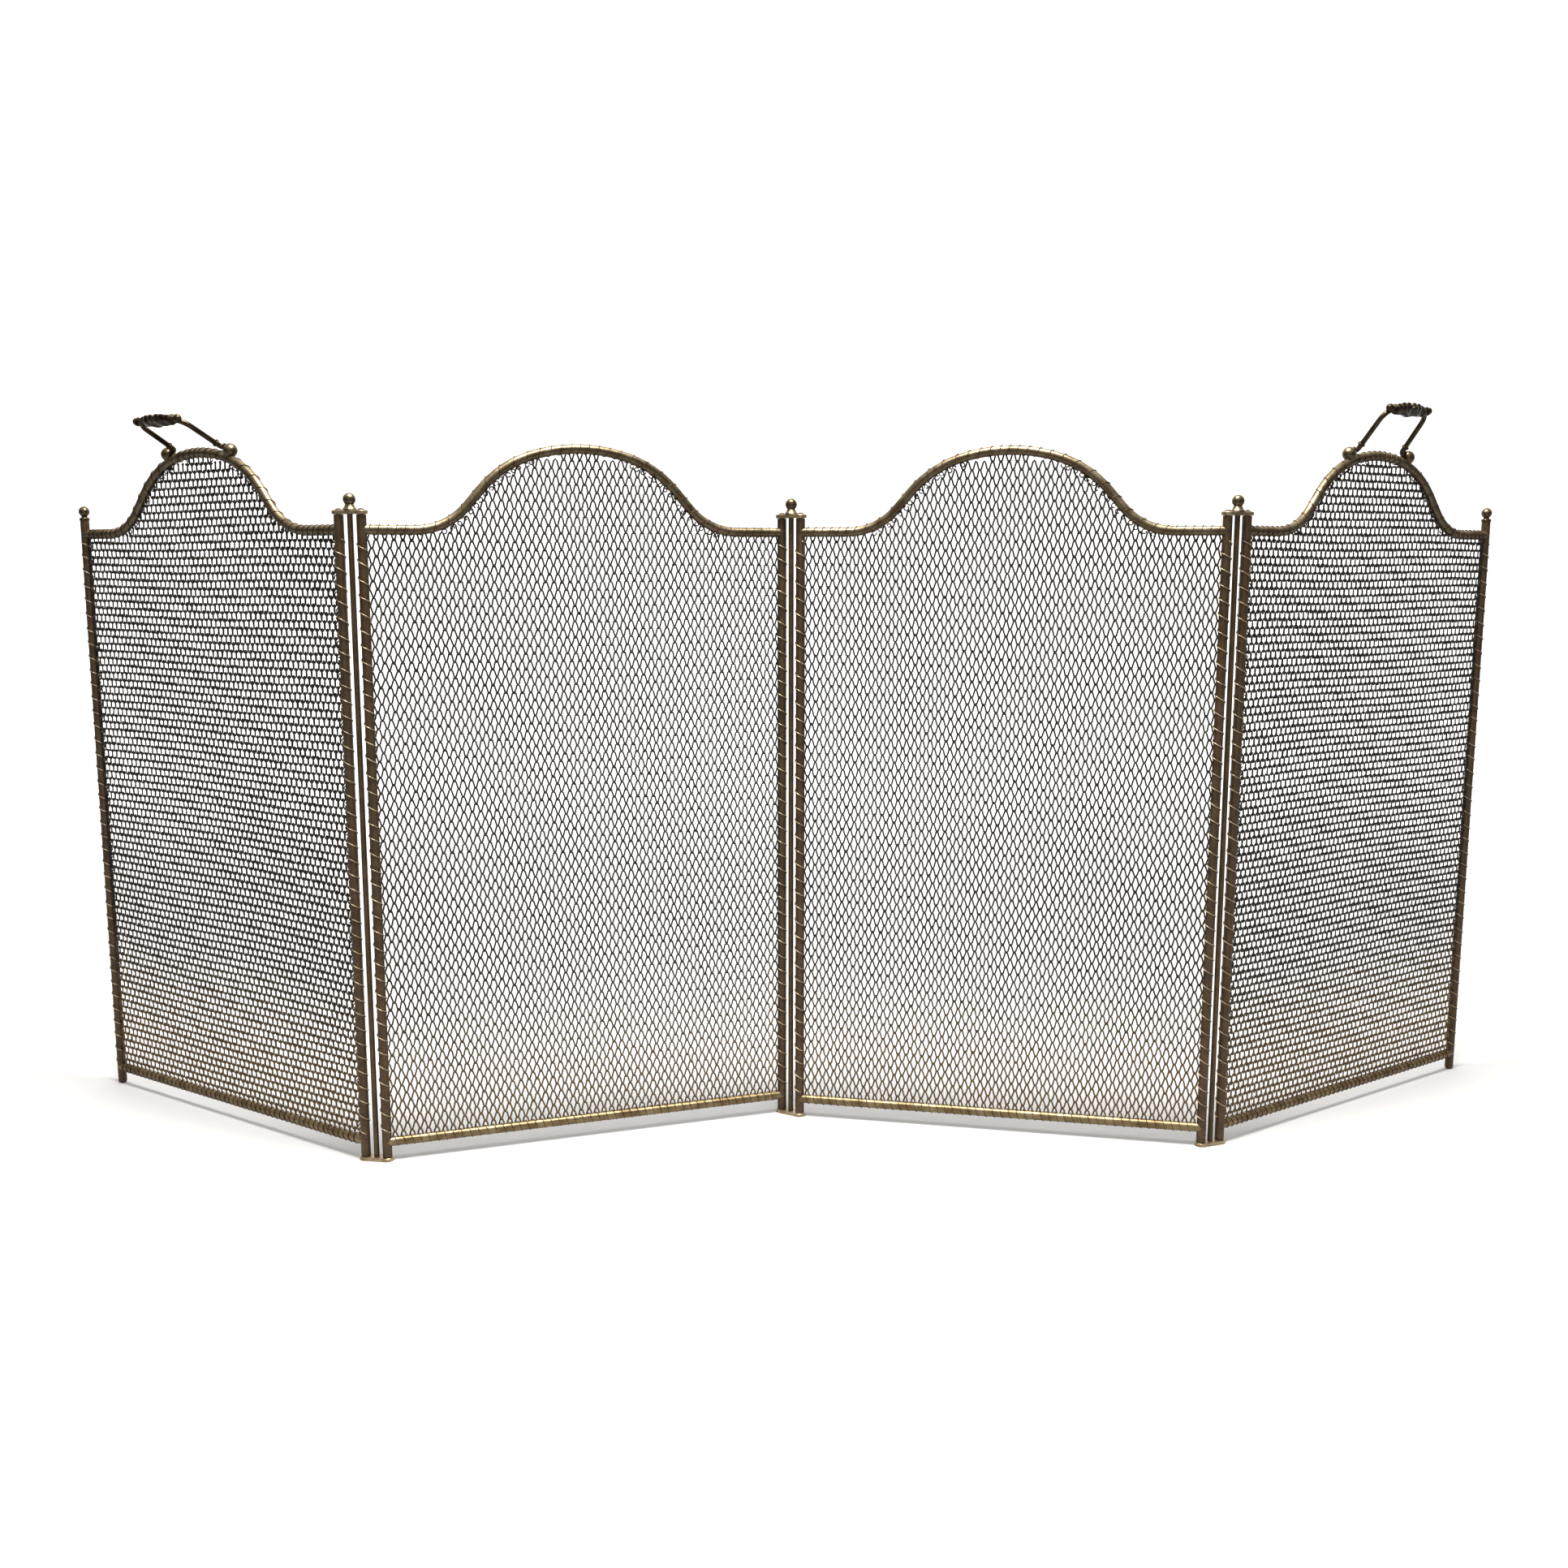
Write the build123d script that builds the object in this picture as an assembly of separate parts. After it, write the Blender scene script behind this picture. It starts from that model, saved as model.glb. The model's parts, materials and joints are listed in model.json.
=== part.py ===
from build123d import *
import os
from math import cos, radians, sin, sqrt

os.makedirs("parts", exist_ok=True)

# Folding fireplace screen: four arched mesh panels joined by three double-pivot hinge posts.
# The origin is the middle post's centre on the floor, +Z is up and the room side is -Y.
# ------------------------------------------------------------------ driving dimensions, mm
panel_pitch = 350.0         # stile axis to stile axis across one panel
post_pitch = 19.0           # the two pivots of a hinge post
bottom_rail_z = 16.0        # bottom rail's axis above the floor
shoulder_z = 516.0          # top rail's axis at the flat shoulders
rod_d = 7.8                 # stiles and rails

arch_rise = 65.5            # crown above the shoulders
crown_radius = 135.0
crown_angle = 17.0          # half of the crown's arc, degrees
haunch_radius = 90.0
haunch_angle = 49.2         # steepest slope of the arch, degrees
toe_radius = 55.0           # reverse curve where the arch leaves the shoulder

plate_length = 29.5         # hinge plates are stadiums
plate_width = 11.0
foot_plate_t = 3.0
top_plate_z = 528.0         # underside of the top plates
top_plate_t = 3.0
post_rod_d = 4.5
pin_d = 4.5                 # stile ends turned down to run in the plates
running_clearance = 0.05    # radial, pin in plate and pin in ball
shoulder_gap = 0.3          # end float between a stile's shoulders and the plates
peen_d = 6.0
peen_h = 1.5

finial_ball_d = 10.0
post_ball_z = 539.4
end_ball_z = 536.2

mesh_t = 0.8                # the mesh is drawn as a sheet of the wire's thickness
mesh_gap = 1.0              # sheet edge to rod, filled by the binding wire
wire_d = 0.6                # binding wire
binding_pitch = 60.0        # every fifth or so of the real turns is drawn

ball_spacing = 86.0         # handle ball posts, centre to centre
ball_d = 11.7
ball_lift = 7.3             # ball centre above the rail's axis
pivot_lift = 3.0            # handle's pivot above the ball's centre
bail_d = 4.4
bail_pin_d = 3.6
bail_half_width = 32.2      # leg axis from the handle's centre, at the foot
bail_top_half_width = 30.0
bail_height = 42.0          # pivot to the grip bar's axis
bail_corner_radius = 12.0
bail_foot_radius = 3.5
bead_d = 6.4
grip_half_length = 20.0
grip_height = 13.4
grip_thickness = 8.6
knob_d = 6.6
knob_offset = 28.0
knob_height = 43.0
left_handle_tilt = 61.0     # degrees from upright toward the room
right_handle_tilt = 38.0

# heading of every panel and post, left to right, degrees from +X toward +Y
left_outer_heading = -35.6
left_post_heading = -10.7
left_inner_heading = 20.5
middle_post_heading = -33.6
right_inner_heading = -12.7
right_post_heading = 22.4
right_outer_heading = 36.6

# ------------------------------------------------------------------ derived dimensions
rod_r = rod_d / 2
half_pitch = panel_pitch / 2
sin_h, cos_h = sin(radians(haunch_angle)), cos(radians(haunch_angle))
sin_c, cos_c = sin(radians(crown_angle)), cos(radians(crown_angle))
curved_rise = toe_radius * (1 - cos_h) + haunch_radius * (cos_c - cos_h) + crown_radius * (1 - cos_c)
slope_length = (arch_rise - curved_rise) / sin_h
curved_run = toe_radius * sin_h + haunch_radius * (sin_h - sin_c) + crown_radius * sin_c
arch_half_span = curved_run + slope_length * cos_h

crown_z = shoulder_z + arch_rise
haunch_centre_x = (crown_radius - haunch_radius) * sin_c
haunch_centre_z = crown_z - crown_radius + (crown_radius - haunch_radius) * cos_c
ball_x = ball_spacing / 2
rail_z_at_ball = haunch_centre_z + sqrt(haunch_radius**2 - (ball_x - haunch_centre_x) ** 2)
ball_z = rail_z_at_ball + ball_lift
pivot_z = ball_z + pivot_lift
collar_end_x = ball_x - ball_d / 2 - 0.35


def step_from(point, heading, length):
    """Point reached by walking length along a heading."""
    return (
        point[0] + length * cos(radians(heading)),
        point[1] + length * sin(radians(heading)),
    )


def placed(point, heading):
    return Location((point[0], point[1], 0), (0, 0, heading))


def save(shape, name):
    export_step(shape, f"parts/{name}.step")


# ------------------------------------------------------------------ plan of the screen
middle_left_pivot = step_from((0, 0), middle_post_heading, -post_pitch / 2)
middle_right_pivot = step_from((0, 0), middle_post_heading, post_pitch / 2)
left_inner_start = step_from(middle_left_pivot, left_inner_heading, -panel_pitch)
left_post_start = step_from(left_inner_start, left_post_heading, -post_pitch)
left_outer_start = step_from(left_post_start, left_outer_heading, -panel_pitch)
right_inner_end = step_from(middle_right_pivot, right_inner_heading, panel_pitch)
right_outer_start = step_from(right_inner_end, right_post_heading, post_pitch)
left_post_centre = step_from(left_post_start, left_post_heading, post_pitch / 2)
right_post_centre = step_from(right_inner_end, right_post_heading, post_pitch / 2)


# ------------------------------------------------------------------ panel pieces
# A panel is drawn along +X from its left stile's axis at x = 0.
def rod_between(x, z_low, z_high, diameter):
    return Pos(x, 0, (z_low + z_high) / 2) * Cylinder(diameter / 2, z_high - z_low)


def arch_edges(inset):
    """Top rail's line from stile axis to stile axis, moved inwards by inset."""
    low = shoulder_z - inset
    left_flat = Line((0, low), (half_pitch - arch_half_span, low))
    left_toe = JernArc(left_flat @ 1, (1, 0), toe_radius + inset, haunch_angle)
    left_slope = Line(left_toe @ 1, left_toe @ 1 + (left_toe % 1) * slope_length)
    haunch_turn = haunch_angle - crown_angle
    left_haunch = JernArc(left_slope @ 1, left_slope % 1, haunch_radius - inset, -haunch_turn)
    crown = JernArc(left_haunch @ 1, left_haunch % 1, crown_radius - inset, -2 * crown_angle)
    right_haunch = JernArc(crown @ 1, crown % 1, haunch_radius - inset, -haunch_turn)
    right_slope = Line(right_haunch @ 1, right_haunch @ 1 + (right_haunch % 1) * slope_length)
    right_toe = JernArc(right_slope @ 1, right_slope % 1, toe_radius + inset, haunch_angle)
    right_flat = Line(right_toe @ 1, (panel_pitch, low))
    return [
        left_flat,
        left_toe,
        left_slope,
        left_haunch,
        crown,
        right_haunch,
        right_slope,
        right_toe,
        right_flat,
    ]


def hinge_stile(x):
    """Rod with a pin in the foot plate and a peened pin through the top plate."""
    body = rod_between(x, foot_plate_t + shoulder_gap, top_plate_z - shoulder_gap, rod_d)
    head_z = top_plate_z + top_plate_t + shoulder_gap / 2
    pin = rod_between(x, 0.5, head_z, pin_d)
    dome_radius = ((peen_d / 2) ** 2 + peen_h**2) / (2 * peen_h)
    dome = Pos(x, 0, head_z + peen_h - dome_radius) * Sphere(dome_radius)
    dome &= Pos(x, 0, head_z) * Cylinder(peen_d, peen_h, align=(Align.CENTER, Align.CENTER, Align.MIN))
    return body + pin + dome


def end_stile(x):
    """Free end rod that stands on the floor on a rounded foot."""
    rod = rod_between(x, 0, top_plate_z, rod_d)
    return fillet(rod.edges().group_by(Axis.Z)[0], rod_r * 0.6)


def end_finial(x):
    collar = rod_between(x, top_plate_z, top_plate_z + 2.8, 8.8)
    collar = fillet(collar.edges(), 0.8)
    neck = rod_between(x, top_plate_z + 1.0, end_ball_z, 5.2)
    return collar + neck + Pos(x, 0, end_ball_z) * Sphere(finial_ball_d / 2 - 0.3)


stile_space = rod_between(0, -5, 600, rod_d) + rod_between(panel_pitch, -5, 600, rod_d)

rail_path = Plane.XZ * Wire(arch_edges(0))
rail_section = Plane(origin=rail_path @ 0, z_dir=rail_path % 0) * Circle(rod_r)
top_rail = sweep(rail_section, path=rail_path) - stile_space
bottom_rail = Pos(half_pitch, 0, bottom_rail_z) * Rot(0, 90, 0) * Cylinder(rod_r, panel_pitch)
bottom_rail -= stile_space

edge = rod_r + mesh_gap
sheet_outline = arch_edges(edge)
sheet_outline.append(Polyline((panel_pitch, shoulder_z - edge), (panel_pitch, 0), (0, 0), (0, shoulder_z - edge)))
sheet = extrude(Plane.XZ * make_face(Curve() + sheet_outline), mesh_t / 2, both=True)
sheet_window = Pos(half_pitch, 0, bottom_rail_z + edge) * Box(
    panel_pitch - 2 * edge, 20, 700, align=(Align.CENTER, Align.CENTER, Align.MIN)
)
sheet &= sheet_window


def binding_turns(carries_handle):
    """Turns of binding wire round both stiles and both rails."""
    turn = Torus(rod_r + running_clearance + wire_d / 2, wire_d / 2)
    turns = []
    stile_turns = int((shoulder_z - bottom_rail_z - 20) / binding_pitch)
    stile_low = (bottom_rail_z + shoulder_z - stile_turns * binding_pitch) / 2
    for i in range(stile_turns + 1):
        for x in (0, panel_pitch):
            turns.append(Pos(x, 0, stile_low + i * binding_pitch) * turn)
    rail_turns = int((panel_pitch - 20) / binding_pitch)
    rail_low = (panel_pitch - rail_turns * binding_pitch) / 2
    for i in range(rail_turns + 1):
        turns.append(Pos(rail_low + i * binding_pitch, 0, bottom_rail_z) * Rot(0, 90, 0) * turn)
    arch_turns = int((rail_path.length - 20) / binding_pitch)
    arch_low = (rail_path.length - arch_turns * binding_pitch) / 2
    for i in range(arch_turns + 1):
        along = (arch_low + i * binding_pitch) / rail_path.length
        centre = rail_path @ along
        if carries_handle and abs(abs(centre.X - half_pitch) - ball_x) < 8:
            continue
        turns.append(Plane(origin=centre, z_dir=rail_path % along) * turn)
    return Compound(turns)


# ------------------------------------------------------------------ handle pieces
# A handle is drawn upright along X about its pivot axis, which is the origin.
def handle_ball(side):
    """Ball on the rail, bored from the inside for the bail's pin; panel coordinates."""
    x = half_pitch + side * ball_x
    ball = Pos(x, 0, ball_z) * Sphere(ball_d / 2)
    stub = rod_between(x, rail_z_at_ball, ball_z, 6.4)
    bore_length = ball_d / 2 + 2
    bore = Cylinder(bail_pin_d / 2 + running_clearance, bore_length)
    bore_centre = x - side * (bore_length / 2 - 2)
    return ball + stub - top_rail - Pos(bore_centre, 0, pivot_z) * Rot(0, 90, 0) * bore


def bail():
    w = bail_half_width
    top = bail_top_half_width
    h = bail_height
    ends = collar_end_x
    line = FilletPolyline(
        (-ends, 0),
        (-w, 0),
        (-top, h),
        (top, h),
        (w, 0),
        (ends, 0),
        radius=[bail_foot_radius, bail_corner_radius, bail_corner_radius, bail_foot_radius],
    )
    path = Plane.XZ * line
    body = sweep(Plane(origin=path @ 0, z_dir=path % 0) * Circle(bail_d / 2), path=path)
    for side in (-1, 1):
        pin = Rot(0, 90, 0) * Cylinder(bail_pin_d / 2, ball_x + 1.5 - ends + 2)
        body += Pos(side * (ball_x + 1.5 + ends - 2) / 2, 0, 0) * pin
    return body


def bead(thickness):
    ring = Cylinder(bead_d / 2, thickness)
    return fillet(ring.edges(), thickness * 0.42)


def collars(bail_solid):
    """A bead beside each ball and one at the bottom of each leg."""
    beads = []
    for side in (-1, 1):
        by_ball = Pos(side * (collar_end_x - 0.8), 0, 0) * Rot(0, 90, 0) * bead(1.6)
        on_leg = Pos(side * bail_half_width, 0, 6.5) * bead(2.2)
        beads.append(by_ball - bail_solid)
        beads.append(on_leg - bail_solid)
    return Compound(beads)


def grip(bail_solid):
    """Cast leaf-shaped sleeve with a ring and a knob at each end."""
    left = (-grip_half_length, bail_height)
    right = (grip_half_length, bail_height)
    swell = grip_height / 2
    upper = Spline(left, (-9, bail_height + swell * 0.72), (0, bail_height + swell),
                   (9, bail_height + swell * 0.72), right)
    lower = Spline(left, (-11, bail_height - swell * 0.9), (0, bail_height - swell * 0.7),
                   (11, bail_height - swell * 0.9), right)
    leaf = extrude(Plane.XZ * make_face(Curve() + [upper, lower]), grip_thickness / 2, both=True)
    leaf = fillet(leaf.edges().filter_by(GeomType.BSPLINE), 2.2)
    sleeve = leaf
    for side in (-1, 1):
        ring = fillet(Cylinder(4.6, 3.0).edges(), 1.2)
        sleeve += Pos(side * (grip_half_length - 1.0), 0, bail_height) * Rot(0, 90, 0) * ring
        neck = Rot(0, 90, 0) * Cylinder(3.3, knob_offset - grip_half_length)
        sleeve += Pos(side * (grip_half_length + knob_offset) / 2, 0, bail_height) * neck
        sleeve += Pos(side * knob_offset, 0, knob_height) * Sphere(knob_d / 2)
    return sleeve - bail_solid


# ------------------------------------------------------------------ post pieces
# A post is drawn along X about its centre.
def plate(z, thickness):
    body = Pos(0, 0, z) * extrude(SlotOverall(plate_length, plate_width), thickness)
    body = chamfer(body.edges().group_by(Axis.Z)[-1], 0.4)
    for side in (-1, 1):
        x = side * post_pitch / 2
        body -= rod_between(x, z - 1, z + thickness + 1, pin_d + 2 * running_clearance)
    return body


def post_finial():
    """Ball on a spreading neck, turned about the post's axis."""
    base_z = top_plate_z + top_plate_t
    profile = Polyline(
        (0, base_z),
        (5.9, base_z),
        (5.6, base_z + 0.9),
        (4.3, base_z + 2.6),
        (3.4, base_z + 4.4),
        (3.4, post_ball_z),
        (0, post_ball_z),
        close=True,
    )
    neck = revolve(Plane.XZ * make_face(profile), Axis.Z)
    return neck + Pos(0, 0, post_ball_z) * Sphere(finial_ball_d / 2)


# ------------------------------------------------------------------ write every piece
panels = {
    "left_outer": placed(left_outer_start, left_outer_heading),
    "left_inner": placed(left_inner_start, left_inner_heading),
    "right_inner": placed(middle_right_pivot, right_inner_heading),
    "right_outer": placed(right_outer_start, right_outer_heading),
}
posts = {
    "left_post": placed(left_post_centre, left_post_heading),
    "middle_post": placed((0, 0), middle_post_heading),
    "right_post": placed(right_post_centre, right_post_heading),
}

for name, place in panels.items():
    left_stile = end_stile(0) if name == "left_outer" else hinge_stile(0)
    right_stile = end_stile(panel_pitch) if name == "right_outer" else hinge_stile(panel_pitch)
    save(place * left_stile, f"{name}_left_stile")
    save(place * right_stile, f"{name}_right_stile")
    save(place * top_rail, f"{name}_top_rail")
    save(place * bottom_rail, f"{name}_bottom_rail")
    save(place * sheet, f"{name}_mesh")
    save(place * binding_turns(name.endswith("outer")), f"{name}_binding")

save(panels["left_outer"] * end_finial(0), "left_end_finial")
save(panels["right_outer"] * end_finial(panel_pitch), "right_end_finial")

for name, place in posts.items():
    save(place * rod_between(0, foot_plate_t, top_plate_z, post_rod_d), f"{name}_rod")
    save(place * plate(0, foot_plate_t), f"{name}_foot_plate")
    save(place * plate(top_plate_z, top_plate_t), f"{name}_top_plate")
    save(place * post_finial(), f"{name}_finial")

bail_solid = bail()
grip_solid = grip(bail_solid)
collars_solid = collars(bail_solid)
for name, tilt, inner in (("left", left_handle_tilt, 1), ("right", right_handle_tilt, -1)):
    panel = panels[f"{name}_outer"]
    hung = panel * Location((half_pitch, 0, pivot_z), (tilt, 0, 0))
    save(hung * bail_solid, f"{name}_handle_bail")
    save(hung * grip_solid, f"{name}_handle_grip")
    save(hung * collars_solid, f"{name}_handle_collars")
    save(panel * handle_ball(inner), f"{name}_handle_inner_ball")
    save(panel * handle_ball(-inner), f"{name}_handle_outer_ball")

print("arch half span", round(arch_half_span, 2), "slope", round(slope_length, 2))
print("ball z", round(ball_z, 2), "pivot z", round(pivot_z, 2))
for name, place in {**panels, **posts}.items():
    spot = place.position
    print(name, round(spot.X, 3), round(spot.Y, 3))
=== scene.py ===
import json
import math

import bpy
import numpy as np
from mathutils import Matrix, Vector


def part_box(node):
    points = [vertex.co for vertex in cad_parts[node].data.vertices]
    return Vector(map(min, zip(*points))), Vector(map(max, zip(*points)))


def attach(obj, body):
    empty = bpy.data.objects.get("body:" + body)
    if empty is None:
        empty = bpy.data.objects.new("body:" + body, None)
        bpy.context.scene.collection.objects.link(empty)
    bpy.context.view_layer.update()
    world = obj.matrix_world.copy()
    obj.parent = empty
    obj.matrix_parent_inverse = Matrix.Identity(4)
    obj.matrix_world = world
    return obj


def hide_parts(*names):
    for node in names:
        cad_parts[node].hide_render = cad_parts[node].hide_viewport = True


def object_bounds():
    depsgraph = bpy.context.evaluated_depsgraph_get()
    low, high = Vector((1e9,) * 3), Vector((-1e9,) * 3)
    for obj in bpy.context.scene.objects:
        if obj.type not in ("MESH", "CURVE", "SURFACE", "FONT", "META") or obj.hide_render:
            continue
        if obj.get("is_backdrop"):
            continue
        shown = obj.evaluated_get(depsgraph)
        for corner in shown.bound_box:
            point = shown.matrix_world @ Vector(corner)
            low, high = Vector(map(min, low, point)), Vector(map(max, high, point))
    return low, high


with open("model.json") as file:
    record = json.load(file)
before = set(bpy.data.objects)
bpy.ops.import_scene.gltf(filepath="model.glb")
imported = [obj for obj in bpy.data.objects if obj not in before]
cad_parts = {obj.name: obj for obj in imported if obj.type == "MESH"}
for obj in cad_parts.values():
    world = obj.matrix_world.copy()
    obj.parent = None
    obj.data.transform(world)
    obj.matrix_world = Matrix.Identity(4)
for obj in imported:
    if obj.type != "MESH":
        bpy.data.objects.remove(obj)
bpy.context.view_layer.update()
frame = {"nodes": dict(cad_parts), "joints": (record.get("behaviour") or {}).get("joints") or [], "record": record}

MM = 0.001
UP = np.array((0.0, 0.0, 1.0))
PANELS = ("left_outer", "left_inner", "right_inner", "right_outer")
OUTER = ("left_outer", "right_outer")

# Panel layout in millimetres, along X from the left stile's axis
PITCH = 350.0
BOTTOM_Z = 16.0
SHOULDER_Z = 516.0
ROD_R = 3.9
RISE = 65.5
CROWN_R, CROWN_ANGLE = 135.0, math.radians(17.0)
HAUNCH_R, HAUNCH_ANGLE = 90.0, math.radians(49.2)
TOE_R = 55.0

# Points of one bend of a coil: across, up and through the mesh as shares of its half size, and
# the wire's thickness there as a share of its usual one
POINTED_BEND = ((-1.0, 0.66, 1.0, 1.0), (0.0, 1.0, 0.0, 1.0), (1.0, 0.66, -1.0, 1.0))
ROUND_BEND = ((-1.0, 0.6, 1.0, 0.9), (-0.7, 0.9, 0.6, 1.3), (0.7, 0.9, -0.6, 1.3), (1.0, 0.6, -1.0, 0.9))

# Weave of the wings' mesh and of the inner panels' mesh, in millimetres: bend is a bend's half
# width as a share of half a column, and overlap is how far a coil passes halfway to the next row
OUTER_WEAVE = {"columns": 54, "depth": 0.9, "bend": 0.5, "overlap": 1.0, "wire_r": 0.74,
               "shape": ROUND_BEND}
INNER_WEAVE = {"columns": 51, "depth": 1.1, "bend": 0.28, "overlap": 0.7, "wire_r": 0.71,
               "shape": POINTED_BEND}
WEAVE = {name: OUTER_WEAVE if name in OUTER else INNER_WEAVE for name in PANELS}
ROW_PITCH = 6.45
JITTER = 0.13

# Cut ends of the mesh wire, curled round the frame, in millimetres and radians
CURL_WIRE_R = 0.56
STILE_CURL_TURN = 5.4
ARCH_CURL_TURN = 5.6
ARCH_CURL_PITCH = 6.2
ARCH_CURL_INSET = ROD_R + 1.6
LEAST_CURLED_SLOPE = 0.3

# Binding wire and handles, in millimetres and degrees
RAIL_BIND_R = 0.32
STILE_BIND_R = 0.42
BIND_GAP = 0.05
BIND_END = ROD_R + 1.5
BALL_CLEARANCE = 7.0
STILE_TURNS = 38
STEPS_PER_TURN = 14
BALL_X = 43.0
GRIP_HALF = 20.0
BAR_HEIGHT = 42.0
HANDLE_TILT = {"left": 61.0, "right": 38.0}

rng = np.random.default_rng(7)


# ---------------------------------------------------------------- outline of a panel
def arch_line(step=0.25):
    """Top rail's centre line as arrays of x, z, heading and distance along it."""
    rise_of_arcs = (
        TOE_R * (1 - math.cos(HAUNCH_ANGLE))
        + HAUNCH_R * (math.cos(CROWN_ANGLE) - math.cos(HAUNCH_ANGLE))
        + CROWN_R * (1 - math.cos(CROWN_ANGLE))
    )
    slope = (RISE - rise_of_arcs) / math.sin(HAUNCH_ANGLE)
    run_of_arcs = (
        TOE_R * math.sin(HAUNCH_ANGLE)
        + HAUNCH_R * (math.sin(HAUNCH_ANGLE) - math.sin(CROWN_ANGLE))
        + CROWN_R * math.sin(CROWN_ANGLE)
    )
    flat = PITCH / 2 - run_of_arcs - slope * math.cos(HAUNCH_ANGLE)
    half = [
        (flat, 0.0),
        (TOE_R * HAUNCH_ANGLE, 1 / TOE_R),
        (slope, 0.0),
        (HAUNCH_R * (HAUNCH_ANGLE - CROWN_ANGLE), -1 / HAUNCH_R),
        (CROWN_R * CROWN_ANGLE, -1 / CROWN_R),
    ]
    runs = half + half[::-1]
    ends = np.cumsum([0.0] + [length for length, _ in runs])
    count = int(ends[-1] / step) + 1
    along = np.linspace(0, ends[-1], count)
    bend_at_ends = np.concatenate([[0.0], np.cumsum([length * k for length, k in runs])])
    heading = np.interp(along, ends, bend_at_ends)
    middle = (heading[1:] + heading[:-1]) / 2
    gap = np.diff(along)
    x = np.concatenate([[0.0], np.cumsum(np.cos(middle) * gap)])
    z = SHOULDER_Z + np.concatenate([[0.0], np.cumsum(np.sin(middle) * gap)])
    return x, z, heading, along


ARCH = arch_line()


def opening_top(x):
    """Underside of the top rail above a place along the panel."""
    ax, az, heading, _ = ARCH
    under_x = ax + ROD_R * np.sin(heading)
    under_z = az - ROD_R * np.cos(heading)
    return np.interp(x, under_x, under_z)


# places every quarter of a millimetre along a panel, and the fewest that a row of mesh needs
PLACES = np.linspace(0, PITCH, 1401)
PLACES_TOP = opening_top(PLACES)
FEWEST_PLACES = 40


# ---------------------------------------------------------------- wires
def ring_faces(count, sides):
    """Quads that skin a stack of rings of points and close its two ends."""
    row = np.arange(count - 1)[:, None] * sides
    a = row + np.arange(sides)[None, :]
    b = row + (np.arange(sides)[None, :] + 1) % sides
    walls = np.stack([a, b, b + sides, a + sides], axis=-1).reshape(-1, 4)
    caps = []
    last = (count - 1) * sides
    for k in range(1, sides - 2, 2):
        caps.append([0, k + 2, k + 1, k])
        caps.append([last, last + k, last + k + 1, last + k + 2])
    return np.vstack([walls, np.array(caps)])


def tube(points, normals, radius, sides):
    """Closed tube of quads along a line of points; normals lie across the line."""
    tangents = np.gradient(points, axis=0)
    tangents /= np.linalg.norm(tangents, axis=1, keepdims=True)
    across = normals - tangents * np.sum(normals * tangents, axis=1, keepdims=True)
    across /= np.linalg.norm(across, axis=1, keepdims=True)
    other = np.cross(tangents, across)
    turn = np.arange(sides) * 2 * math.pi / sides
    ring = across[:, None, :] * np.cos(turn)[:, None] + other[:, None, :] * np.sin(turn)[:, None]
    radius = np.broadcast_to(radius, len(points))[:, None, None]
    verts = (points[:, None, :] + radius * ring).reshape(-1, 3)
    return verts, ring_faces(len(points), sides)


def joined(parts):
    """One vertex array and one face array from many."""
    verts, faces, base = [], [], 0
    for v, f in parts:
        verts.append(v)
        faces.append(f + base)
        base += len(v)
    return np.vstack(verts), np.vstack(faces)


def coil_row(name, z, first, last, phase):
    """One flat coil of a panel's mesh between two places along the panel."""
    weave = WEAVE[name]
    half = PITCH / weave["columns"] / 2
    k0 = math.ceil((first - phase) / half)
    k1 = math.floor((last - phase) / half)
    if k1 - k0 < 2:
        return None
    k = np.arange(k0, k1 + 1)
    up = np.where(k % 2 == 0, 1.0, -1.0)
    reach = ROW_PITCH / 2 + weave["overlap"]
    x = phase + k * half
    # rows wander up and down, the mesh bellies a little between its rods, and columns lean
    wobble = 0.7 * np.sin(x * 0.021 + z * 0.017) + 0.25 * np.sin(x * 0.083 + z * 0.31)
    wobble = wobble * np.clip(min(z - BOTTOM_Z, SHOULDER_Z + RISE - z) / 60, 0, 1)
    belly = 1.2 * np.sin(x * math.pi / PITCH) * math.sin(z * math.pi / SHOULDER_Z)
    lean = 0.3 * np.sin(x * 0.05 + z * 0.013)
    shoulder = half * weave["bend"]
    shape = weave["shape"]
    points = np.empty((len(k), len(shape), 3))
    # a strand runs down across the front and the next one runs up across the back
    side = weave["depth"] * up
    for j, (across, rise, through, _) in enumerate(shape):
        height = z + wobble + up * reach * rise
        points[:, j] = np.stack([x + across * shoulder, belly + through * side, height], -1)
    points[..., 0] += lean[:, None]
    points += rng.normal(0, JITTER, points.shape)
    points = points.reshape(-1, 3)
    tangents = np.gradient(points, axis=0)
    normals = np.stack([-tangents[:, 2], np.zeros(len(points)), np.abs(tangents[:, 0]) + 1e-3], -1)
    thickness = np.tile([share for *_, share in shape], len(k))
    return tube(points, normals, weave["wire_r"] * thickness, 4)


def wire_loop(centre, radius, axis, start, sweep):
    """Part of a ring of mesh wire, as where a cut end is curled round the frame."""
    axis = np.array(axis, float)
    axis /= np.linalg.norm(axis)
    u = np.cross(axis, (0.0, 0.0, 1.0))
    if np.linalg.norm(u) < 1e-6:
        u = np.array((1.0, 0.0, 0.0))
    u /= np.linalg.norm(u)
    v = np.cross(axis, u)
    angle = start + np.linspace(0, sweep, 11)
    spokes = np.cos(angle)[:, None] * u + np.sin(angle)[:, None] * v
    return tube(np.array(centre) + radius * spokes, spokes, CURL_WIRE_R, 4)


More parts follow.
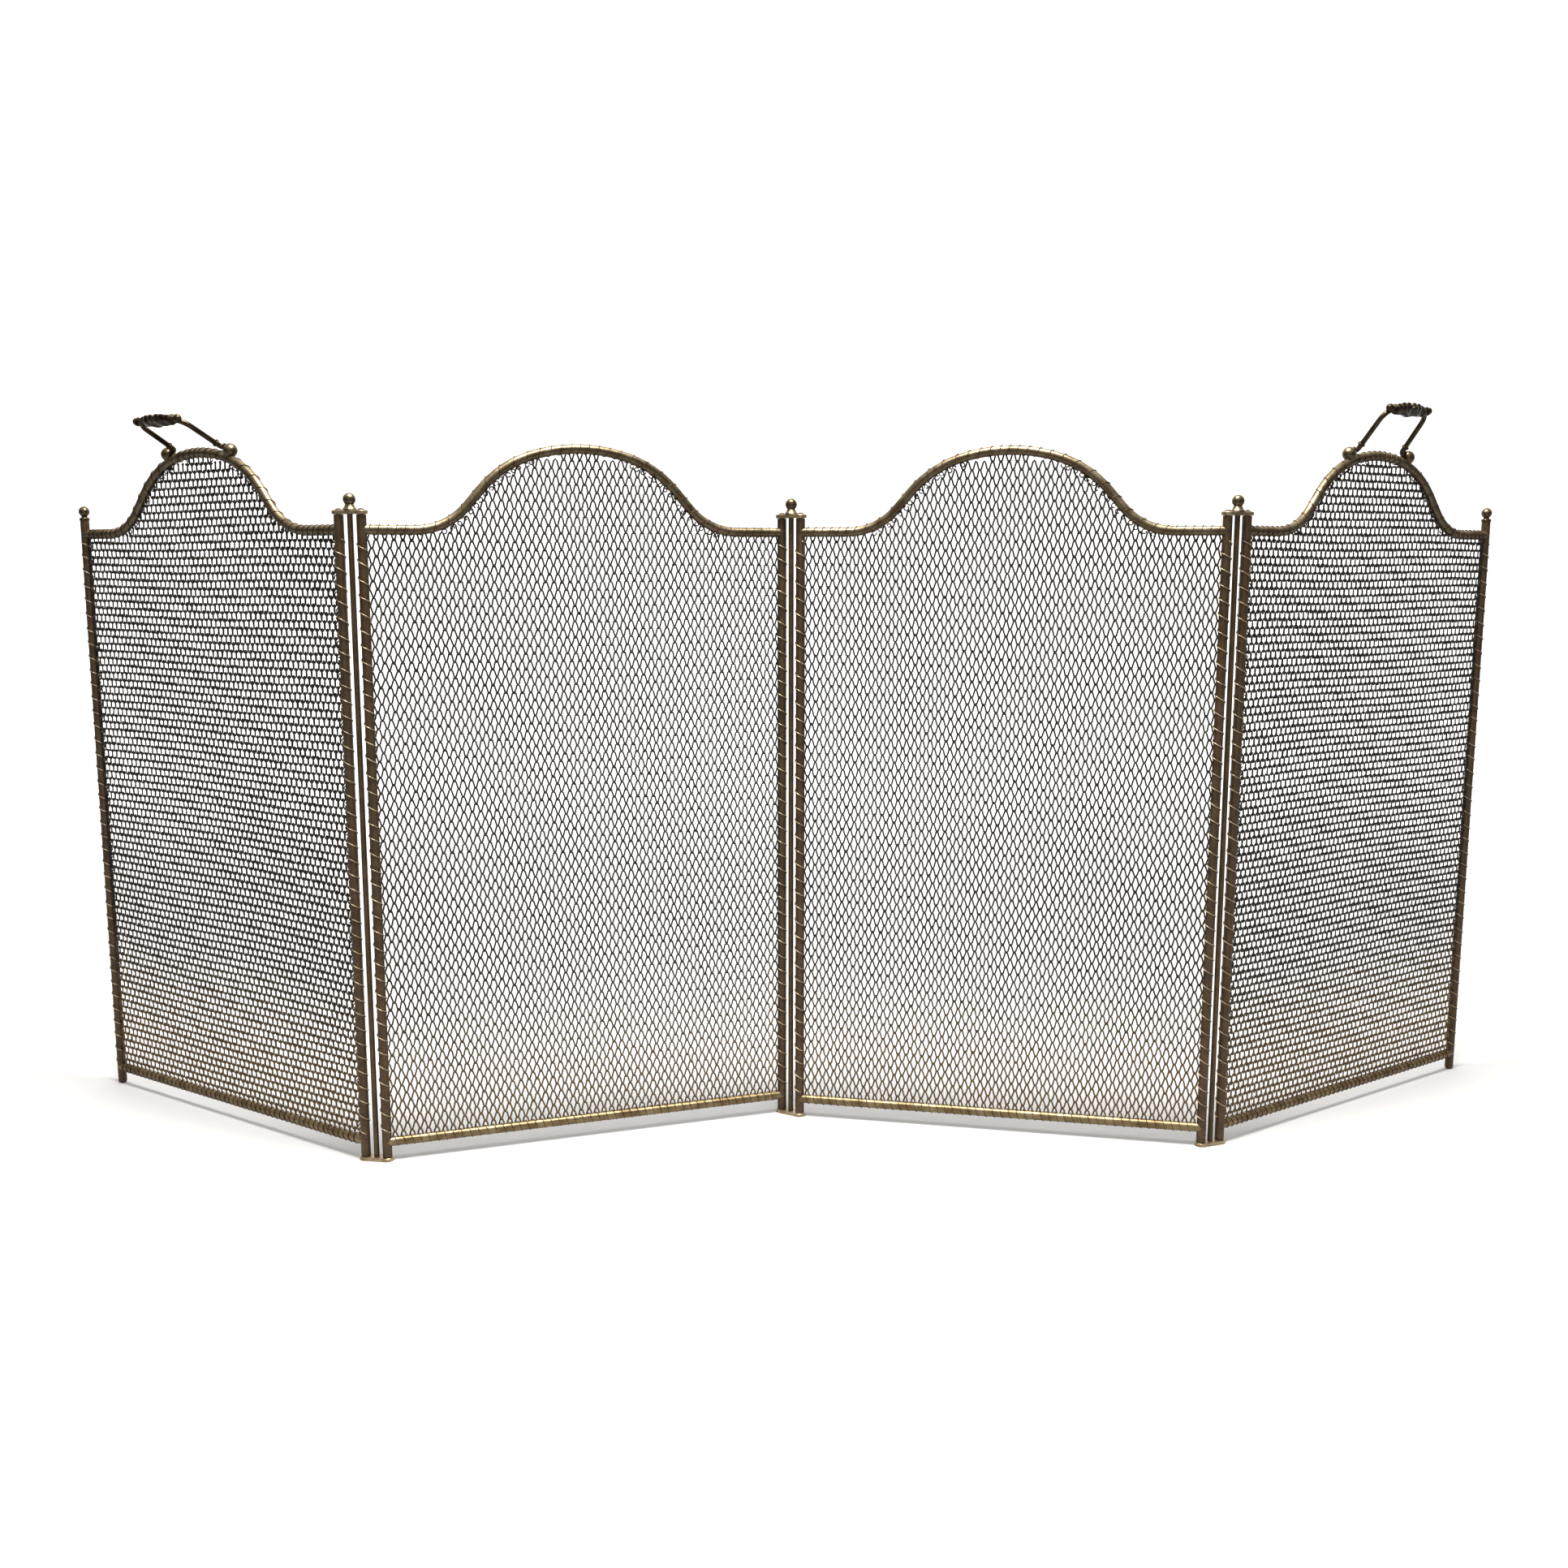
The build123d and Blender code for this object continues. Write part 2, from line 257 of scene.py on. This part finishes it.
def coil_mesh(name, low, high):
    """All coils of a panel whose middles lie between two heights, with their curled ends."""
    pitch = PITCH / WEAVE[name]["columns"]
    parts = []
    ax, az, heading, along = ARCH
    first_z = BOTTOM_Z + ROD_R + 1.0
    rows = int((SHOULDER_Z + RISE - ROD_R - first_z) / ROW_PITCH) + 1
    for i in range(rows):
        z = first_z + i * ROW_PITCH
        if not low <= z < high:
            continue
        inside = PLACES[(PLACES_TOP > z + 0.8) & (PLACES > 1.0) & (PLACES < PITCH - 1.0)]
        if len(inside) < FEWEST_PLACES:
            continue
        phase = pitch / 2 if i % 2 else 0.0
        row = coil_row(name, z, inside[0], inside[-1], phase)
        if row is None:
            continue
        parts.append(row)
        ends = ((inside[0], 1), (inside[-1], -1)) if name in OUTER else ()
        for end, way in ends:
            tilt = rng.uniform(-0.5, 0.5)
            inset = 4.4 if z < SHOULDER_Z else 1.2
            centre = (end + way * inset, rng.uniform(-0.5, 0.5), z + rng.uniform(-0.5, 0.5))
            radius = rng.uniform(1.5, 2.1)
            axis = (tilt, 1, 0.3 * tilt)
            parts.append(wire_loop(centre, radius, axis, rng.uniform(0, 6.3), STILE_CURL_TURN))
    # the tops of the columns are curled along the arch
    for s in np.arange(6, along[-1] - 6, ARCH_CURL_PITCH):
        i = int(np.searchsorted(along, s))
        if abs(heading[i]) < LEAST_CURLED_SLOPE:
            continue
        x = ax[i] + ARCH_CURL_INSET * math.sin(heading[i])
        z = az[i] - ARCH_CURL_INSET * math.cos(heading[i])
        if low <= z < high:
            tilt = rng.uniform(-0.6, 0.6)
            centre = (x + rng.uniform(-1, 1), rng.uniform(-0.8, 0.8), z)
            radius = rng.uniform(1.4, 2.0)
            parts.append(wire_loop(centre, radius, (tilt, 1, 0.4), rng.uniform(0, 6.3), ARCH_CURL_TURN))
    return joined(parts)


def helix(centres, normals, binormals, phase, wire_r):
    """Binding wire wound round a line at the given phase angles."""
    spokes = np.cos(phase)[:, None] * normals + np.sin(phase)[:, None] * binormals
    orbit = ROD_R + BIND_GAP + wire_r
    return tube(centres + orbit * spokes, spokes, wire_r, 6)


def stile_binding(x, turns):
    """Binding wire wound up a whole stile."""
    steps = turns * STEPS_PER_TURN
    phase = np.linspace(0, turns * 2 * math.pi, steps + 1) + rng.uniform(0, 6.3)
    z = np.linspace(BOTTOM_Z + 7, SHOULDER_Z - 7, steps + 1)
    z += 0.9 * np.sin(z * 0.045 + rng.uniform(0, 6)) + 0.4 * np.sin(z * 0.17)
    zero = np.zeros_like(z)
    centres = np.stack([zero + x, zero, z], -1)
    normals = np.tile((1.0, 0.0, 0.0), (len(z), 1))
    binormals = np.tile((0.0, -1.0, 0.0), (len(z), 1))
    return helix(centres, normals, binormals, phase, STILE_BIND_R)


def bottom_binding(pitch):
    """Binding wire wound along the bottom rail."""
    length = PITCH - 2 * BIND_END
    turns = int(length / pitch)
    steps = turns * STEPS_PER_TURN
    phase = np.linspace(0, turns * 2 * math.pi, steps + 1)
    x = np.linspace(BIND_END, PITCH - BIND_END, steps + 1)
    x += 0.5 * np.sin(x * 0.06 + rng.uniform(0, 6))
    x = np.clip(x, ROD_R + 1.0, PITCH - ROD_R - 1.0)
    zero = np.zeros_like(x)
    centres = np.stack([x, zero, zero + BOTTOM_Z], -1)
    normals = np.tile((0.0, 0.0, 1.0), (len(x), 1))
    binormals = np.tile((0.0, -1.0, 0.0), (len(x), 1))
    return helix(centres, normals, binormals, phase, RAIL_BIND_R)


def arch_binding(pitch, gaps):
    """Binding of the top rail, opened out on the slopes, in the runs between the gaps."""
    ax, az, heading, along = ARCH
    local = pitch * (1 + 1.1 * np.clip(np.abs(heading) / 0.6, 0, 1))
    phase_all = np.concatenate([[0], np.cumsum(np.diff(along) * 2 * math.pi / local[1:])])
    inner = (ax > BIND_END) & (ax < PITCH - BIND_END)
    for x in gaps:
        inner &= np.abs(ax - x) > BALL_CLEARANCE
    runs = np.split(np.arange(len(ax)), np.where(np.diff(inner.astype(int)) != 0)[0] + 1)
    parts = []
    for run in runs:
        if not inner[run[0]] or len(run) < 20:
            continue
        turns = (phase_all[run[-1]] - phase_all[run[0]]) / (2 * math.pi)
        phase = np.linspace(phase_all[run[0]], phase_all[run[-1]], int(turns * STEPS_PER_TURN) + 2)
        s = np.interp(phase, phase_all, along)
        x = np.interp(s, along, ax)
        z = np.interp(s, along, az)
        h = np.interp(s, along, heading)
        zero = np.zeros_like(x)
        centres = np.stack([x, zero, z], -1)
        normals = np.stack([-np.sin(h), zero, np.cos(h)], -1)
        binormals = np.tile((0.0, 1.0, 0.0), (len(x), 1))
        parts.append(helix(centres, normals, binormals, phase, RAIL_BIND_R))
    return joined(parts)


# ---------------------------------------------------------------- Blender objects
def mesh_object(name, verts_mm, faces, to_world, material):
    """Smooth Blender object of quads, given in a panel's or a handle's millimetres."""
    data = bpy.data.meshes.new(name)
    verts = to_world(verts_mm).astype(np.float32)
    data.vertices.add(len(verts))
    data.vertices.foreach_set("co", verts.ravel())
    data.loops.add(faces.size)
    data.loops.foreach_set("vertex_index", faces.astype(np.int32).ravel())
    data.polygons.add(len(faces))
    data.polygons.foreach_set("loop_start", np.arange(0, faces.size, 4, dtype=np.int32))
    data.polygons.foreach_set("use_smooth", np.ones(len(faces), dtype=bool))
    data.update(calc_edges=True)
    data.validate()
    data.materials.append(material)
    obj = bpy.data.objects.new(name, data)
    bpy.context.scene.collection.objects.link(obj)
    return obj


def centre_of(node):
    low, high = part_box(node)
    return (Vector(low) + Vector(high)) / 2


def panel_frame(name):
    """How a panel's millimetres become the shared frame's metres, and the panel's two level axes."""
    left = centre_of(f"{name}_left_stile")
    right = centre_of(f"{name}_right_stile")
    along = Vector((right.x - left.x, right.y - left.y)).normalized()
    u = np.array((along.x, along.y, 0.0))
    back = np.array((-along.y, along.x, 0.0))
    origin = np.array((left.x, left.y, 0.0))

    def to_world(points):
        return origin + MM * (points[:, :1] * u + points[:, 1:2] * back + points[:, 2:3] * UP)

    return to_world, u, back


# ---------------------------------------------------------------- materials
RUST = (0.15, 0.052, 0.018)


def metal(
    name, bright, mid, dark, rough, patina, rust_amount=0.0, metallic=0.9, painted_underside_shade=0.0, painted_floor_light=None
):
    """Old metal: worn bright spots, a brown middle tone and dark patina, all by noise, with optional painted shade
    on faces turned down and painted light from the floor on low wires.
    """
    mat = bpy.data.materials.new(name)
    mat.use_nodes = True
    nodes, links = mat.node_tree.nodes, mat.node_tree.links
    shader = nodes["Principled BSDF"]
    place = nodes.new("ShaderNodeTexCoord")

    def noise(size, detail, roughness=0.6):
        node = nodes.new("ShaderNodeTexNoise")
        node.inputs["Scale"].default_value = size
        node.inputs["Detail"].default_value = detail
        node.inputs["Roughness"].default_value = roughness
        links.new(place.outputs["Object"], node.inputs["Vector"])
        return node

    def ramp(source, low, high):
        node = nodes.new("ShaderNodeMapRange")
        node.inputs["From Min"].default_value = low
        node.inputs["From Max"].default_value = high
        links.new(source, node.inputs["Value"])
        return node.outputs["Result"]

    def mix(factor, a, b):
        node = nodes.new("ShaderNodeMix")
        node.data_type = "RGBA"
        links.new(factor, node.inputs["Factor"])
        for value, socket in ((a, node.inputs["A"]), (b, node.inputs["B"])):
            if isinstance(value, tuple):
                socket.default_value = (*value, 1.0)
            else:
                links.new(value, socket)
        return node.outputs["Result"]

    blotch = noise(90, 5)
    speck = noise(420, 4, 0.7)
    base = mix(ramp(blotch.outputs["Fac"], 0.36, 0.64), mid, bright)
    base = mix(ramp(speck.outputs["Fac"], 0.5 + 0.2 * (1 - patina), 0.8), base, dark)
    if painted_floor_light:
        # painted light: wires near the floor turn a lighter brown, as light bounced up from the floor falls on
        # them
        height = nodes.new("ShaderNodeSeparateXYZ")
        links.new(place.outputs["Object"], height.inputs["Vector"])
        base = mix(ramp(height.outputs["Z"], 0.16, 0.05), base, painted_floor_light)
    if painted_underside_shade:
        # painted shade: faces turned down are mixed towards the dark colour, as the shade under a rod, and tops
        # stay bright
        facing = nodes.new("ShaderNodeSeparateXYZ")
        links.new(place.outputs["Normal"], facing.inputs["Vector"])
        under = nodes.new("ShaderNodeMapRange")
        under.inputs["From Min"].default_value = 0.7
        under.inputs["From Max"].default_value = -0.1
        under.inputs["To Max"].default_value = painted_underside_shade
        links.new(facing.outputs["Z"], under.inputs["Value"])
        base = mix(under.outputs["Result"], base, dark)
    if rust_amount:
        spread = noise(38, 6, 0.7)
        rusted = ramp(spread.outputs["Fac"], 0.72 - 0.4 * rust_amount, 0.82 - 0.3 * rust_amount)
        base = mix(rusted, base, RUST)
    links.new(base, shader.inputs["Base Color"])
    shader.inputs["Metallic"].default_value = metallic
    rough_node = nodes.new("ShaderNodeMapRange")
    rough_node.inputs["From Min"].default_value = 0.3
    rough_node.inputs["From Max"].default_value = 0.7
    rough_node.inputs["To Min"].default_value = rough - 0.1
    rough_node.inputs["To Max"].default_value = rough + 0.18
    links.new(speck.outputs["Fac"], rough_node.inputs["Value"])
    links.new(rough_node.outputs["Result"], shader.inputs["Roughness"])
    bump = nodes.new("ShaderNodeBump")
    bump.inputs["Strength"].default_value = 0.35
    bump.inputs["Distance"].default_value = 0.0004
    links.new(speck.outputs["Fac"], bump.inputs["Height"])
    links.new(bump.outputs["Normal"], shader.inputs["Normal"])
    return mat


# The amounts given below set the painted shade on each part's faces turned down
STILE = metal(
    "stile_patina", (0.082, 0.047, 0.02), (0.044, 0.025, 0.010), (0.011, 0.007, 0.004),
    rough=0.45, patina=0.7, rust_amount=0.22, metallic=0.5,
)
RAIL = metal(
    "rail_brass", (0.40, 0.33, 0.205), (0.17, 0.125, 0.068), (0.032, 0.02, 0.011),
    rough=0.33, patina=0.75, rust_amount=0.06, painted_underside_shade=0.82,
)
LOW_RAIL = metal(
    "low_rail_brass", (0.40, 0.31, 0.17), (0.19, 0.13, 0.062), (0.032, 0.019, 0.01),
    rough=0.36, patina=0.6, rust_amount=0.18, painted_underside_shade=0.6,
)
# the mesh wire's lowest strands get painted light from the floor
MESH = metal(
    "mesh_wire", (0.034, 0.026, 0.019), (0.016, 0.012, 0.009), (0.006, 0.0045, 0.0035),
    rough=0.45, patina=0.7, metallic=0.6, painted_floor_light=(0.13, 0.078, 0.032),
)
BINDING = metal(
    "binding_wire", (0.12, 0.065, 0.032), (0.06, 0.032, 0.015), (0.012, 0.007, 0.004),
    rough=0.36, patina=0.6,
)
STILE_BINDING = metal(
    "stile_binding_wire", (0.46, 0.37, 0.25), (0.28, 0.20, 0.12), (0.05, 0.03, 0.016),
    rough=0.34, patina=0.7, rust_amount=0.15,
)
BALL = metal(
    "ball_brass", (0.36, 0.29, 0.175), (0.15, 0.105, 0.055), (0.026, 0.016, 0.009),
    rough=0.27, patina=0.7, painted_underside_shade=0.85,
)
PLATE = metal(
    "plate_brass", (0.50, 0.40, 0.26), (0.25, 0.18, 0.10), (0.04, 0.026, 0.014),
    rough=0.34, patina=0.5, rust_amount=0.15, painted_underside_shade=0.4,
)
HANDLE = metal(
    "handle_brass", (0.10, 0.074, 0.042), (0.026, 0.017, 0.009), (0.006, 0.004, 0.0025),
    rough=0.3, patina=0.8, painted_underside_shade=0.6,
)

SLOT_LOOKS = {
    "stile": STILE,
    "rail": RAIL,
    "mesh_wire": MESH,
    "binding_wire": BINDING,
    "ball_brass": BALL,
    "plate": PLATE,
    "handle": HANDLE,
}
for part in frame["record"]["subparts"]:
    node = frame["nodes"][part["node"]]
    look = SLOT_LOOKS[part["material_slot"]]
    if part["node"].endswith("bottom_rail"):
        look = LOW_RAIL
    if not node.material_slots:
        node.data.materials.append(look)
    for slot in node.material_slots:
        slot.material = look

# ---------------------------------------------------------------- mesh and binding of every panel
# heights between which the rows are joined into one piece
BANDS = ((0, 215), (215, 400), (400, 700))
for name in PANELS:
    to_world, _, _ = panel_frame(name)
    body = f"{name}_panel"
    pitch = PITCH / WEAVE[name]["columns"]
    for i, (low, high) in enumerate(BANDS):
        made = coil_mesh(name, low, high)
        piece = mesh_object(f"{name}_woven_mesh_{i + 1}", *made, to_world, MESH)
        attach(piece, body)
    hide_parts(f"{name}_mesh")

    gaps = [PITCH / 2 - BALL_X, PITCH / 2 + BALL_X] if name in OUTER else []
    rails = joined([arch_binding(pitch, gaps), bottom_binding(pitch)])
    wound = mesh_object(f"{name}_rail_binding", *rails, to_world, BINDING)
    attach(wound, body)
    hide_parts(f"{name}_binding")
    stiles = joined([stile_binding(0.0, STILE_TURNS), stile_binding(PITCH, STILE_TURNS)])
    wound = mesh_object(f"{name}_stile_binding", *stiles, to_world, STILE_BINDING)
    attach(wound, body)

# ---------------------------------------------------------------- cast grips
PIVOT = {j["child"]: j for j in frame["joints"] if j["child"].endswith("_handle")}


def grip_surface():
    """Cast sleeve on the bail's bar: three overlapping leaves with pointed crests and folded sides."""
    rings, sides = 180, 64
    s = np.linspace(-1, 1, rings)
    phi = np.linspace(0, 2 * math.pi, sides, endpoint=False)
    body = (1 - np.abs(s) ** 3) ** 0.7
    # each leaf swells and breaks off in a point, away from the middle
    third = np.abs(s) * 3 % 1
    leaf = 0.35 + 0.65 * np.sin(third ** 0.7 * math.pi * 0.86)
    crest = 2.7 + 4.1 * body * leaf
    belly = 2.7 + 3.9 * body * (0.55 + 0.45 * np.cos(3.4 * s) ** 2)
    thick = 2.6 + 1.7 * body * (0.6 + 0.4 * leaf)
    side = np.abs(np.sin(phi))[None, :]
    veins = np.cos(8.2 * s[:, None] + 2.4 * np.cos(phi)[None, :]) * side ** 3
    creases = np.cos(5 * phi + 1.5)[None, :] * (1 - side ** 6)
    relief = 1 - (0.16 * veins + 0.07 * creases) * body[:, None]
    up = np.where(np.cos(phi)[None, :] > 0, crest[:, None], belly[:, None])
    y = thick[:, None] * np.sin(phi)[None, :] * relief
    z = up * np.cos(phi)[None, :] * relief
    lean = 0.9 * np.cos(phi)[None, :] * np.sign(s)[:, None] * leaf[:, None] * body[:, None]
    x = np.repeat((s * GRIP_HALF)[:, None], sides, axis=1) + lean
    verts = np.stack([x, y, z + BAR_HEIGHT], -1).reshape(-1, 3)
    # these rings run the other way round, so each face is turned over
    return verts, ring_faces(rings, sides)[:, [0, 3, 2, 1]]


def turned(profile, axis_point, direction, sides=32):
    """Solid of revolution from (distance, radius) pairs along a direction in the handle's plane."""
    direction = np.array(direction, float)
    direction /= np.linalg.norm(direction)
    side = np.array((0.0, 1.0, 0.0))
    other = np.cross(direction, side)
    turn = np.arange(sides) * 2 * math.pi / sides
    rings = []
    for distance, radius in profile:
        spokes = np.cos(turn)[:, None] * side + np.sin(turn)[:, None] * other
        rings.append(np.array(axis_point) + distance * direction + max(radius, 0.02) * spokes)
    return np.vstack(rings), ring_faces(len(profile), sides)


def ball_profile(radius):
    """Half circle, for turned()."""
    angle = np.linspace(0, math.pi, 15)
    return [(-radius * math.cos(t), radius * math.sin(t)) for t in angle]


def bead_profile(half, radius, waist):
    """Rounded ring of a given half length on a narrower waist, for turned()."""
    angle = np.linspace(0, math.pi, 9)
    return [(-half * math.cos(t), waist + (radius - waist) * math.sin(t)) for t in angle]


def grip_parts():
    """Cast sleeve with a bead, a neck and a flared knob at each end."""
    parts = [grip_surface()]
    for side in (-1, 1):
        outward = (side, 0, 0.2)
        for at, half, radius in ((19.2, 1.3, 4.5), (22.0, 1.0, 3.6)):
            parts.append(turned(bead_profile(half, radius, 2.4), (side * at, 0, BAR_HEIGHT), (1, 0, 0)))
        neck = [(0, 2.9), (2.2, 2.6), (4.4, 3.0)]
        parts.append(turned(neck, (side * 22.4, 0, BAR_HEIGHT), (side, 0, 0.1)))
        parts.append(turned(ball_profile(3.3), (side * 28.0, 0, 43.0), outward))
        parts.append(turned(bead_profile(0.7, 3.75, 2.8), (side * 26.6, 0, 42.8), outward))
    return joined(parts)


for side, tilt in HANDLE_TILT.items():
    _, u, back = panel_frame(f"{side}_outer")
    pivot = np.array(PIVOT[f"{side}_handle"]["pos_m"])
    c, s = math.cos(math.radians(tilt)), math.sin(math.radians(tilt))
    up_way = UP * c - back * s
    back_way = back * c + UP * s

    def to_world(points, pivot=pivot, u=u, up_way=up_way, back_way=back_way):
        return pivot + MM * (points[:, :1] * u + points[:, 1:2] * back_way + points[:, 2:3] * up_way)

    cast = mesh_object(f"{side}_cast_grip", *grip_parts(), to_world, HANDLE)
    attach(cast, f"{side}_handle")
    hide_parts(f"{side}_handle_grip")

# ---------------------------------------------------------------- floor, light and camera
WHITE = (1, 1, 1, 1)
FLOOR_FRONT = -6.0
FLOOR_BACK = 3.0
COVE_R = 2.0
WALL_TOP = 7.0
FLOOR_HALF_WIDTH = 9.0
COVE_STEPS = 16


def graded(nodes, links, coordinate, axis, start, end, weakest, strongest):
    """Strength that grows smoothly from one value to another along an axis."""
    place = nodes.new("ShaderNodeTexCoord")
    axes = nodes.new("ShaderNodeSeparateXYZ")
    grade = nodes.new("ShaderNodeMapRange")
    grade.interpolation_type = "SMOOTHSTEP"
    grade.inputs["From Min"].default_value = start
    grade.inputs["From Max"].default_value = end
    grade.inputs["To Min"].default_value = weakest
    grade.inputs["To Max"].default_value = strongest
    links.new(place.outputs[coordinate], axes.inputs["Vector"])
    links.new(axes.outputs[axis], grade.inputs["Value"])
    return grade.outputs["Result"]


def floor_material():
    """Matt white that glows a little further back, as a lit backdrop does."""
    mat = bpy.data.materials.new("studio_floor")
    mat.use_nodes = True
    nodes, links = mat.node_tree.nodes, mat.node_tree.links
    shader = nodes["Principled BSDF"]
    shader.inputs["Base Color"].default_value = (0.80, 0.80, 0.80, 1)
    shader.inputs["Roughness"].default_value = 0.95
    shader.inputs["Emission Color"].default_value = WHITE
    glow = graded(nodes, links, "Object", "Y", 0.3, 2.4, 0.0, 0.85)
    links.new(glow, shader.inputs["Emission Strength"])
    return mat


def cove():
    """Floor that curves up into a wall far behind."""
    line = [(FLOOR_FRONT, 0.0), (FLOOR_BACK, 0.0)]
    for k in range(1, COVE_STEPS + 1):
        a = math.pi / 2 * k / COVE_STEPS
        line.append((FLOOR_BACK + COVE_R * math.sin(a), COVE_R * (1 - math.cos(a))))
    line.append((FLOOR_BACK + COVE_R, WALL_TOP))
    verts = [(x, y, z) for y, z in line for x in (-FLOOR_HALF_WIDTH, FLOOR_HALF_WIDTH)]
    faces = [(2 * k, 2 * k + 1, 2 * k + 3, 2 * k + 2) for k in range(len(line) - 1)]
    data = bpy.data.meshes.new("studio_floor")
    data.from_pydata(verts, [], faces)
    for polygon in data.polygons:
        polygon.use_smooth = True
    data.materials.append(floor_material())
    obj = bpy.data.objects.new("studio_floor", data)
    bpy.context.scene.collection.objects.link(obj)
    return obj


def studio_world():
    """Dim at the horizon and brighter overhead."""
    world = bpy.data.worlds.new("studio")
    world.use_nodes = True
    nodes, links = world.node_tree.nodes, world.node_tree.links
    background = nodes["Background"]
    background.inputs["Color"].default_value = (1.0, 0.99, 0.97, 1)
    sky = graded(nodes, links, "Generated", "Z", 0.0, 0.8, 0.08, 0.5)
    links.new(sky, background.inputs["Strength"])
    return world


def softbox(name, place, size, power, colour):
    """Area light that faces the middle of the object."""
    light = bpy.data.lights.new(name, "AREA")
    light.shape = "RECTANGLE"
    light.size, light.size_y = size
    light.energy = power
    light.color = colour
    lamp = bpy.data.objects.new(name, light)
    lamp.location = place
    lamp.rotation_euler = (LIT_POINT - Vector(place)).to_track_quat("-Z", "Y").to_euler()
    bpy.context.scene.collection.objects.link(lamp)


LIT_POINT = Vector((0, 0, 0.4))
cove()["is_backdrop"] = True
bpy.context.scene.world = studio_world()
softbox("key_overhead", (0.0, -0.35, 1.75), (0.8, 0.6), 50, (1.0, 0.98, 0.94))
softbox("front_fill", (0.0, -3.0, 1.3), (2.4, 1.2), 9, (1.0, 1.0, 1.0))

# Camera: metres, and degrees below level
CAMERA_PLACE = (-0.0061, -1.4116, 0.4898)
CAMERA_DOWN = 9.335
camera_data = bpy.data.cameras.new("camera")
camera_data.sensor_width = 36
camera_data.lens = 37.43
camera_data.shift_y = 0.0304
camera = bpy.data.objects.new("camera", camera_data)
camera.location = CAMERA_PLACE
camera.rotation_euler = (math.radians(90 - CAMERA_DOWN), 0, 0)
bpy.context.scene.collection.objects.link(camera)
bpy.context.scene.camera = camera
bpy.context.scene.view_settings.view_transform = "Standard"

low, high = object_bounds()
